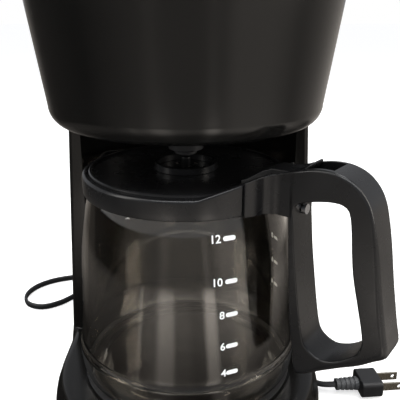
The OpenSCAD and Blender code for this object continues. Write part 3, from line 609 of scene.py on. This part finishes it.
# outside of the glass from its foot to its rim: distance from the axis, height
glass = {"outside": [(56, 54), (60, 52.6), (63.5, 52.3), (66.5, 52.5), (69.3, 53.6), (71.4, 56.3),
                     (72.6, 61.3), (73.2, 66.3), (73.5, 70.3), (73.6, 73.3), (73.1, 75.4), (72.3, 76.4),
                     (71.95, 78), (71.6, 81), (70.8, 95.1), (69.9, 115.1), (69.3, 129.8), (68.2, 143.2),
                     (66.2, 158), (64.6, 168), (63.2, 174), (62, 178), (61.5, 182), (61.5, 186)],
         # how the inside runs behind the bead: from and to a height, radius at the start, fall per millimetre
         "bead": (73, 78, 69.6, 0.12),
         "foot": [(0, 54.6), (48, 54.6), (52, 54.5)], "lip": [(60.9, 186.6), (59.8, 186.6)], "rim": 186,
         "wall": 2.5, "floor": 57, "floorReach": 56, "steps": 160}


def glassReach(z):
    # outer radius of the glass at a height above its shoulder
    line = glass["outside"]
    for (r0, z0), (r1, z1) in zip(line, line[1:]):
        if z0 <= z <= z1 and z0 > 60:
            return r0 + (r1 - r0) * (z - z0) / (z1 - z0)
    return line[-1][0]


def makeGlass():
    line = [Vector((r, 0, z)) for r, z in glass["outside"]]
    line = [(p.x, p.z) for p in smoothLine(line[:10], 3)[:-1] + line[9:13] + smoothLine(line[12:], 3)[1:]]
    inside = []
    wall, floor = glass["wall"], glass["floor"]
    beadLow, beadHigh, beadReach, beadFall = glass["bead"]
    for i, (r, z) in enumerate(line):
        before, after = line[max(i - 1, 0)], line[min(i + 1, len(line) - 1)]
        dr, dz = after[0] - before[0], after[1] - before[1]
        size = hypot(dr, dz)
        inner = (r - wall * dz / size, max(z + wall * dr / size, floor))
        if beadLow < z < beadHigh:
            inner = (beadReach - beadFall * (z - beadLow), z)
        inside.append(inner)
    inside[-1] = (inside[-1][0], glass["rim"])
    bowl = glass["foot"] + line + glass["lip"]
    bowl += [p for p in reversed(inside) if p[1] > floor + 0.01]
    bowl += [(glass["floorReach"], floor), (0, floor)]
    bm = bmesh.new()
    spunRound(bm, bowl, glass["steps"])
    tidyNormals(bm)
    finishPiece("jugGlass", bm, "carafe", made["jugGlass"], ["glass_jug"], sharp=50, flat=False)
    print("jug glass made")


makeGlass()

# the handle's plane: X runs out from the jug's axis, Y across the handle
handleTurn = 54.5
atHandle = Matrix.Rotation(radians(handleTurn - 90), 4, "Z")
rise = {"start": 45, "height": 190.5, "slope": 0.4245}


def riseAt(out):
    return rise["height"] + rise["slope"] * (out - rise["start"])


collar = {"outline": [(64.1, 177.5), (64.7, 177.7), (65, 178.4), (65.3, 182), (65.3, 187.8), (65.15, 188.6),
                      (64.75, 189.3), (64.1, 189.8), (63.3, 190), (62.3, 190), (61.8, 189.8), (61.6, 189.4),
                      (61.6, 188), (58.2, 188), (58.2, 186.3), (61.9, 186.3), (61.9, 182), (62.6, 177.5)],
          "steps": 180, "rimTop": 190, "rimFoot": 187.5, "rimIn": 61.5, "seam": 24.4,
          "slot": ((50, -8.5, 190.4), (90, 8.5, 215)), "groove": ((64.4, -0.35, 170), (70, 0.35, 215)),
          # the spout: how far it comes out, its half width in degrees, where it starts and how high it rises
          "spoutOut": 7, "spoutHalf": 13, "spoutLow": 183, "spoutRise": 6}


def makeCollar():
    bm = bmesh.new()
    spunRound(bm, collar["outline"] + collar["outline"][:1], collar["steps"])
    back = atHandle.inverted()
    for v in bm.verts:
        place = back @ v.co
        top = riseAt(place.x)
        reach = hypot(place.x, place.y)
        if place.z > collar["rimFoot"] and reach > collar["rimIn"] and top > collar["rimTop"]:
            v.co.z += top - collar["rimTop"]
        across = abs(atan2(place.y, -place.x)) * 180 / pi
        if across < collar["spoutHalf"] and place.z > collar["spoutLow"]:
            lift = cos(pi / 2 * across / collar["spoutHalf"]) ** 1.3
            lift *= min(1, (place.z - collar["spoutLow"]) / collar["spoutRise"])
            v.co += Vector((v.co.x, v.co.y, 0)).normalized() * collar["spoutOut"] * lift
    tidyNormals(bm)
    cut = bmesh.new()
    block(cut, *collar["slot"])
    for side in (-1, 1):
        groove = block(cut, *collar["groove"])
        bmesh.ops.transform(cut, matrix=Matrix.Rotation(side * radians(collar["seam"]), 4, "Z"), verts=groove)
    bmesh.ops.transform(cut, matrix=atHandle, verts=cut.verts)
    finishPiece("jugCollar", bm, "carafe", made["jugBlack"], ["carafe_collar"], sharp=38,
                steps=[carve], cut=cut)
    print("collar made")


makeCollar()

handle = {"outer": [(79.5, 195), (80, 202.8), (84, 204.6), (94, 206.9), (104, 207), (112, 204.8),
                    (118, 200.9), (122.8, 195.3), (126, 188.6), (128.3, 180), (131, 167), (135, 143),
                    (139, 122), (141, 112.5), (139.6, 108.8), (134, 105), (126, 99.2), (116, 93.8),
                    (104, 87), (94, 81), (89, 80.4), (87, 84), (86.5, 94), (84.6, 106), (83, 120),
                    (81, 151), (80, 169), (79.5, 182), (79.5, 195)],
          "inner": [(83.4, 168), (82.4, 180), (83.8, 185), (88, 187.4), (96, 189.4), (104, 190.6),
                    (110, 190.2), (114, 187), (115.8, 178), (117, 166), (119, 152), (122.6, 137),
                    (126.2, 122), (127, 114), (124.5, 107), (116.5, 100.4), (111, 97.6), (105, 96),
                    (100, 97.2), (95.2, 100.4), (92.6, 105), (90, 118), (87, 138), (84.8, 154), (83.4, 168)],
          "centre": (104, 143), "points": 144, "half": 12, "round": 7, "slotHalf": 8.5,
          # share of the rounding: round the opening on the jug's side and elsewhere, at the top and foot
          # of the outside, and where the handle leaves the jug
          "innerSoft": (0.16, 0.3), "innerSide": 95,
          "outerSoft": (0.42, 1), "outerTop": 200, "outerFoot": 112,
          "rootSoft": 0.18, "rootFrom": 84, "rootTo": 100,
          "slot": [(50, 190.4), (85, 190.4), (103, 194.2), (103, 225), (50, 225)]}


def metFrom(centre, line, count):
    # where evenly turned rays from a centre meet an outline
    met = []
    for k in range(count):
        ray = Vector((cos(2 * pi * k / count), sin(2 * pi * k / count)))
        for a, b in zip(line, line[1:]):
            side = b - a
            cross = ray.x * side.y - ray.y * side.x
            if abs(cross) < 1e-9:
                continue
            gap = a - centre
            out = (gap.x * side.y - gap.y * side.x) / cross
            along = (gap.x * ray.y - gap.y * ray.x) / cross
            if out > 0 and 0 <= along <= 1:
                met.append(centre + ray * out)
                break
    return met


def makeHandle():
    bm = bmesh.new()
    weight = bm.edges.layers.float.new("bevel_weight_edge")
    ring = bm.verts.layers.int.new("ring")
    centre = Vector(handle["centre"])
    loops = []
    for mark, key in enumerate(("outer", "inner"), 1):
        points = metFrom(centre, smoothLine(handle[key], 4), handle["points"])
        verts, edges = chain(bm, [(p.x, -handle["half"], p.y) for p in points], closed=True)
        for v in verts:
            v[ring] = mark
        loops += edges
    side = bmesh.ops.bridge_loops(bm, edges=loops)["faces"]
    grown = bmesh.ops.extrude_face_region(bm, geom=side)["geom"]
    bmesh.ops.translate(bm, vec=(0, 2 * handle["half"], 0), verts=newVerts(grown))
    tidyNormals(bm)
    for e in bm.edges:
        a, b = e.verts
        if a[ring] != b[ring] or abs(a.co.y - b.co.y) > 1:
            continue
        out, high = (a.co.x + b.co.x) / 2, (a.co.z + b.co.z) / 2
        near, elsewhere = handle["innerSoft"]
        e[weight] = near if a[ring] == 2 and out < handle["innerSide"] else elsewhere
        if a[ring] == 1:
            top, foot = handle["outerSoft"]
            down = max(0, handle["outerTop"] - high) / (handle["outerTop"] - handle["outerFoot"])
            soft = min(foot, top + (foot - top) * down)
            away = max(0, out - handle["rootFrom"]) / (handle["rootTo"] - handle["rootFrom"])
            e[weight] = soft if away > 1 else handle["rootSoft"] + (soft - handle["rootSoft"]) * away
    bmesh.ops.transform(bm, matrix=atHandle, verts=bm.verts)
    finishPiece("jugHandle", bm, "carafe", made["jugBlack"], ["carafe_handle"], sharp=32,
                steps=[("BEVEL", {"width": handle["round"] / 1000, "segments": 5, "limit_method": "WEIGHT"}),
                       carve], cut=slotCutter())
    print("handle made")


def slotCutter():
    # the way through the handle's top for the lid's hinge piece
    cut = bmesh.new()
    prism(cut, handle["slot"], -handle["slotHalf"], handle["slotHalf"])
    bmesh.ops.transform(cut, matrix=atHandle @ Matrix.Rotation(pi / 2, 4, "X"), verts=cut.verts)
    return cut


bracket = {"ringIn": 65.4, "ringOut": 68.4, "thinner": 1.5, "halfSpan": 24, "fillet": 9,
           "end": 81.8, "low": 177.5, "high": 200, "round": 1.6, "steps": 12,
           # its top near the handle: distance from the axis, height there and slope
           "cap": (66, 199.4, 0.27)}


def makeBracket():
    # the band round the collar, running out into the handle's top with a fillet on each side
    half, span = handle["half"], bracket["halfSpan"]
    ringIn, ringOut, fillet = bracket["ringIn"], bracket["ringOut"], bracket["fillet"]
    filletX = ((ringOut + fillet) ** 2 - (half + fillet) ** 2) ** 0.5
    turn = atan2(half + fillet, filletX) * 180 / pi
    outline = arcLine((0, 0), ringIn, span, -span, 32)
    shares = [k / bracket["steps"] for k in range(bracket["steps"] + 1)]
    band = [(ringOut - bracket["thinner"] * t ** 2, turn + (span - turn) * t) for t in shares]
    outline += [(r * cos(radians(a)), -r * sin(radians(a))) for r, a in reversed(band)]
    outline += arcLine((filletX, -half - fillet), fillet, 180 - turn, 90, 10)
    outline += [(bracket["end"], -half), (bracket["end"], half)]
    outline += arcLine((filletX, half + fillet), fillet, 270, 180 + turn, 10)
    outline += [(r * cos(radians(a)), r * sin(radians(a))) for r, a in band]
    bm = bmesh.new()
    capFrom, capHeight, capSlope = bracket["cap"]
    for v in prism(bm, outline, bracket["low"], bracket["high"]):
        v.co.z = min(riseAt(v.co.x), capHeight + capSlope * (v.co.x - capFrom))
    tidyNormals(bm)
    weight = bm.edges.layers.float.new("bevel_weight_edge")
    for e in bm.edges:
        if e.calc_face_angle(0) > radians(50) and max(v.co.x for v in e.verts) < bracket["end"] - 0.1:
            e[weight] = 1
        if min(v.co.z for v in e.verts) > bracket["low"] + 1 and abs(e.verts[0].co.y - e.verts[1].co.y) < 0.1:
            e[weight] = 1
    bmesh.ops.transform(bm, matrix=atHandle, verts=bm.verts)
    finishPiece("handleBracket", bm, "carafe", made["jugBlack"], sharp=32,
                steps=[("BEVEL", {"width": bracket["round"] / 1000, "segments": 4, "limit_method": "WEIGHT"}),
                       carve], cut=slotCutter())
    print("bracket made")


makeHandle()
makeBracket()

jugLid = {"outline": [(0, 190.3), (17.6, 190.3), (18, 190.6), (18, 194.2), (18.3, 194.6), (19.7, 194.6),
                      (20, 194.2), (20, 190.6), (20.4, 190.3), (57.5, 190.3), (58.4, 190.6), (59.2, 191.4),
                      (60.3, 191.4), (61, 190.9), (61.2, 190.2), (61.2, 188.6), (60.9, 188.3),
                      (57.6, 188.3), (57.3, 188), (57.3, 180.6), (57, 180.3), (55.8, 180.3), (55.5, 180.6),
                      (55.5, 188), (55.2, 188.3), (0, 188.3)],
          "post": (3, 190, 197.6), "holes": (12, 2.2, 6), "holeHeight": 189, "holeDepth": 8, "steps": 160,
          "lug": [(46, 189.3), (59.4, 189.3), (61.5, 190.8), (72, 190.8), (75, 191.4), (76.3, 193.2),
                  (82, 197.5), (86.5, 202), (89.6, 206.6), (89.2, 208.4), (87.4, 207.2), (85, 204.9),
                  (82, 203.3), (78, 202.6), (66, 202.4), (60, 200), (50, 193.5), (46, 192)],
          "lugHalf": 8, "lugEdge": 0.9}


def makeJugLid():
    bm = bmesh.new()
    spunRound(bm, jugLid["outline"], jugLid["steps"])
    tidyNormals(bm)
    cut = bmesh.new()
    reach, radius, count = jugLid["holes"]
    for x, y in arcLine((0, 0), reach, 0, 360, count)[:-1]:
        barrel(cut, (x, y, jugLid["holeHeight"]), (0, 0, 1), radius, jugLid["holeDepth"], 32)
    finishPiece("jugLidDisc", bm, "jug_lid", made["jugBlack"], ["carafe_lid"], sharp=35,
                steps=[carve], cut=cut)
    bm = bmesh.new()
    radius, low, high = jugLid["post"]
    barrel(bm, (0, 0, (low + high) / 2), (0, 0, 1), radius, high - low)
    lug = prism(bm, jugLid["lug"], -jugLid["lugHalf"], jugLid["lugHalf"])
    lug += [v for v in bm.verts if v not in lug and hypot(v.co.x, v.co.y) > 30]
    bmesh.ops.transform(bm, matrix=atHandle @ Matrix.Rotation(pi / 2, 4, "X"), verts=list(set(lug)))
    tidyNormals(bm)
    finishPiece("jugLidLug", bm, "jug_lid", made["jugBlack"], sharp=32,
                steps=[softEdges(jugLid["lugEdge"], 3, 30)])
    print("jug lid made")


makeJugLid()

# each mark: its digits, their turn round the glass in degrees and the height of both
marks = {"dash": (3.8, 1.35), "dashTurn": 23.5, "digitSize": 6.486, "bold": 0.1, "raised": 0.12,
         "offGlass": 0.05,
         "front": [("12", 16.2, 166.5), ("10", 16.4, 141.9), ("8", 18.6, 121.6), ("6", 18.9, 101.6),
                   ("4", 19.3, 84.3)],
         "side": [("10", 115.4, 153.8), ("8", 115, 132.3), ("6", 115, 113.2), ("4", 115, 95.6)],
         "sideTurn": 110.5, "sideShare": 0.8}


def wrapOnGlass(bm, turn, height):
    # lays flat shapes, drawn in X and Y about the origin, on the outside of the glass
    for v in bm.verts:
        z = height + v.co.y
        reach = glassReach(z) + marks["offGlass"] + v.co.z
        angle = radians(turn) + v.co.x / reach
        v.co = (reach * sin(angle), -reach * cos(angle), z)


def addMark(bm, shape, turn, height):
    bmesh.ops.recalc_face_normals(shape, faces=shape.faces)
    wrapOnGlass(shape, turn, height)
    mesh = bpy.data.meshes.new("mark")
    shape.to_mesh(mesh)
    shape.free()
    bm.from_mesh(mesh)
    bpy.data.meshes.remove(mesh)


def dashShape(share):
    half, thick = marks["dash"]
    half, thick = half * share, thick * share
    outline = arcLine((half - thick, 0), thick, -90, 90, 8) + arcLine((thick - half, 0), thick, 90, 270, 8)
    shape = bmesh.new()
    prism(shape, outline, 0, marks["raised"])
    return shape


def digitShape(text, share):
    curve = bpy.data.curves.new("digits", "FONT")
    curve.body = text
    curve.size = marks["digitSize"] * share
    curve.extrude = marks["raised"] / 2
    curve.offset = marks["bold"] * share
    curve.align_x = "CENTER"
    curve.align_y = "CENTER"
    holder = bpy.data.objects.new("digits", curve)
    scene.collection.objects.link(holder)
    mesh = bpy.data.meshes.new_from_object(holder.evaluated_get(bpy.context.evaluated_depsgraph_get()))
    shape = bmesh.new()
    shape.from_mesh(mesh)
    bpy.data.objects.remove(holder)
    bpy.data.curves.remove(curve)
    bpy.data.meshes.remove(mesh)
    bmesh.ops.translate(shape, vec=(0, 0, marks["raised"] / 2), verts=shape.verts)
    return shape


def makeMarks():
    bm = bmesh.new()
    sets = (("front", 1, marks["dashTurn"]), ("side", marks["sideShare"], marks["sideTurn"]))
    for key, share, dashTurn in sets:
        for text, turn, height in marks[key]:
            addMark(bm, dashShape(share), dashTurn, height)
            addMark(bm, digitShape(text, share), turn, height)
    bmesh.ops.remove_doubles(bm, verts=bm.verts, dist=0.0005)
    finishPiece("cupMarks", bm, "carafe", made["markWhite"], sharp=30)
    print("cup marks made")


makeMarks()

plate = {"outline": [(0, 52), (30, 52.05), (60, 52), (64.6, 51.9), (66.2, 51.5), (66.9, 50.8), (67, 50),
                     (67, 48), (66.2, 48), (65.9, 50), (65.4, 50.5), (64, 50.8), (0, 50.8)], "steps": 144}


def makePlate():
    bm = bmesh.new()
    spunRound(bm, plate["outline"], plate["steps"])
    tidyNormals(bm)
    finishPiece("warmingPlate", bm, "machine", made["plateCoat"], ["warming_plate"])
    print("plate made")


makePlate()

studio = {"floorColour": (0.82, 0.82, 0.81), "floorOther": (0.8077, 0.8077, 0.79785), "floorPatch": (3, 3),
          "floorSize": 9000, "floorDull": 0.9, "floorShine": 0.1, "floorGlow": 0.64,
          "worldLight": 0.45, "worldColour": (0.93, 0.95, 1.0, 1),
          # painted reflections: the glow that only glossy rays see on the floor, from the front round by the
          # right, the back and the left
          "farRound": [(0.0, 0.42), (0.04, 0.42), (0.055, 0.75), (0.07, 0.45), (0.1, 0.95), (0.17, 0.85),
                       (0.24, 0.3), (0.36, 0.5), (0.45, 0.5), (0.5, 0.3), (0.58, 0.28), (0.64, 0.05),
                       (0.8, 0.015), (0.92, 0.4), (0.94, 0.6), (0.965, 0.42), (1.0, 0.42)],
          "nearRound": [(0.0, 0.8), (0.015, 0.6), (0.036, 0.7), (0.048, 3.2), (0.064, 3.2), (0.074, 0.9),
                        (0.1, 1.2), (0.16, 1.3), (0.21, 1.1), (0.25, 0.8), (0.29, 0.4), (0.34, 0.08),
                        (0.4, 0.1), (0.5, 0.3), (0.6, 0.12), (0.7, 0.12), (0.85, 0.25), (0.884, 0.5),
                        (0.89, 1.7), (0.897, 0.6), (0.925, 0.9), (0.94, 2.3), (0.965, 2.0), (0.975, 0.8),
                        (1.0, 0.8)],
          # metres over which the near painted reflection gives way to the far one, and the painted shade
          # under the object to both
          "nearEnd": (0.46, 0.56), "paintedShadeEnd": (0.2, 0.34), "paintedShadeShare": 0.1, "gain": 4,
          "tint": (1, 0.92, 0.84), "aim": (0, 0, 0.18),
          "lamps": [
              ("leftBox", (-0.9, -0.35, 0.75), (0.35, 1.0), 5, (1.0, 0.97, 0.92)),
              ("rightBox", (0.95, -0.25, 0.6), (0.35, 0.9), 6, (1.0, 0.94, 0.86)),
              ("frontBox", (0.05, -0.62, 1.15), (1.3, 0.22), 8, (0.98, 0.99, 1.0)),
              ("topBox", (0.05, 0.25, 1.3), (0.8, 0.5), 9, (0.98, 0.99, 1.0))]}


def rayPick(nodes, links, *kinds):
    # 1 for any of the given kinds of ray, 0 for the rest
    seen = nodes.new("ShaderNodeLightPath")
    level = seen.outputs[kinds[0]]
    for kind in kinds[1:]:
        either = nodes.new("ShaderNodeMath")
        either.operation = "MAXIMUM"
        links.new(level, either.inputs[0])
        links.new(seen.outputs[kind], either.inputs[1])
        level = either.outputs[0]
    return level


def makeFloor():
    bm = bmesh.new()
    bmesh.ops.create_grid(bm, x_segments=1, y_segments=1, size=studio["floorSize"])
    bmesh.ops.transform(bm, matrix=intoPlace, verts=bm.verts)
    mesh = bpy.data.meshes.new("floor")
    bm.to_mesh(mesh)
    bm.free()
    floor = bpy.data.objects.new("floor", mesh)
    scene.collection.objects.link(floor)
    finish, nodes, links, shader = startFinish("floorPaper")
    patches = noiseOn(nodes, links, *studio["floorPatch"])
    links.new(blendOf(nodes, links, patches, studio["floorColour"], studio["floorOther"]),
              shader.inputs["Base Color"])
    shader.inputs["Roughness"].default_value = studio["floorDull"]
    shader.inputs["Specular IOR Level"].default_value = studio["floorShine"]
    glow = nodes.new("ShaderNodeEmission")
    level = nodes.new("ShaderNodeMath")
    level.operation = "MULTIPLY"
    level.inputs[1].default_value = studio["floorGlow"]
    links.new(rayPick(nodes, links, "Is Camera Ray", "Is Transmission Ray"), level.inputs[0])
    links.new(level.outputs[0], glow.inputs["Strength"])
    lit = nodes.new("ShaderNodeAddShader")
    links.new(shader.outputs[0], lit.inputs[0])
    links.new(glow.outputs[0], lit.inputs[1])
    # painted reflections: for glossy rays the floor glows in bands round the object, with painted shade under
    # it
    place = nodes.new("ShaderNodeTexCoord")
    turn = nodes.new("ShaderNodeMapping")
    turn.vector_type = "TEXTURE"
    turn.inputs["Rotation"].default_value = (0, 0, pi / 2)
    around = nodes.new("ShaderNodeTexGradient")
    around.gradient_type = "RADIAL"
    links.new(place.outputs["Object"], turn.inputs["Vector"])
    links.new(turn.outputs["Vector"], around.inputs["Vector"])
    away = nodes.new("ShaderNodeVectorMath")
    away.operation = "LENGTH"
    links.new(place.outputs["Object"], away.inputs[0])
    blend = nodes.new("ShaderNodeMix")
    blend.data_type = "RGBA"
    links.new(spreadOf(nodes, links, away.outputs["Value"], 0, 1, *studio["nearEnd"]),
              next(i for i in blend.inputs if i.identifier == "Factor_Float"))
    gain = studio["gain"]
    for socket, key in (("A_Color", "nearRound"), ("B_Color", "farRound")):
        stops = [(at, [light / gain * c for c in studio["tint"]]) for at, light in studio[key]]
        links.new(rampOf(nodes, links, around.outputs["Fac"], stops),
                  next(i for i in blend.inputs if i.identifier == socket))
    paintedReflection = nodes.new("ShaderNodeEmission")
    links.new(next(o for o in blend.outputs if o.identifier == "Result_Color"), paintedReflection.inputs["Color"])
    links.new(spreadOf(nodes, links, away.outputs["Value"], gain * studio["paintedShadeShare"], gain,
                       *studio["paintedShadeEnd"]), paintedReflection.inputs["Strength"])
    both = nodes.new("ShaderNodeMixShader")
    links.new(rayPick(nodes, links, "Is Glossy Ray"), both.inputs[0])
    links.new(lit.outputs[0], both.inputs[1])
    links.new(paintedReflection.outputs[0], both.inputs[2])
    links.new(both.outputs[0], nodes["Material Output"].inputs["Surface"])
    mesh.materials.append(finish)


def makeLamps():
    for name, place, size, power, colour in studio["lamps"]:
        data = bpy.data.lights.new(name, "AREA")
        data.shape = "RECTANGLE"
        data.size, data.size_y = size
        data.energy = power
        data.color = colour
        lamp = bpy.data.objects.new(name, data)
        scene.collection.objects.link(lamp)
        aim = Vector(studio["aim"]) - Vector(place)
        lamp.matrix_world = Matrix.Translation(place) @ aim.to_track_quat("-Z", "Y").to_matrix().to_4x4()


def makeWorld():
    world = bpy.data.worlds.new("studio")
    world.use_nodes = True
    scene.world = world
    nodes, links = world.node_tree.nodes, world.node_tree.links
    plain = nodes["Background"]
    plain.inputs["Color"].default_value = studio["worldColour"]
    plain.inputs["Strength"].default_value = studio["worldLight"]
    white = nodes.new("ShaderNodeBackground")
    white.inputs["Color"].default_value = (1, 1, 1, 1)
    white.inputs["Strength"].default_value = 1
    mix = nodes.new("ShaderNodeMixShader")
    links.new(rayPick(nodes, links, "Is Camera Ray", "Is Transmission Ray"), mix.inputs[0])
    links.new(plain.outputs[0], mix.inputs[1])
    links.new(white.outputs[0], mix.inputs[2])
    links.new(mix.outputs[0], nodes["World Output"].inputs["Surface"])


makeFloor()
makeLamps()
makeWorld()
print("studio set")
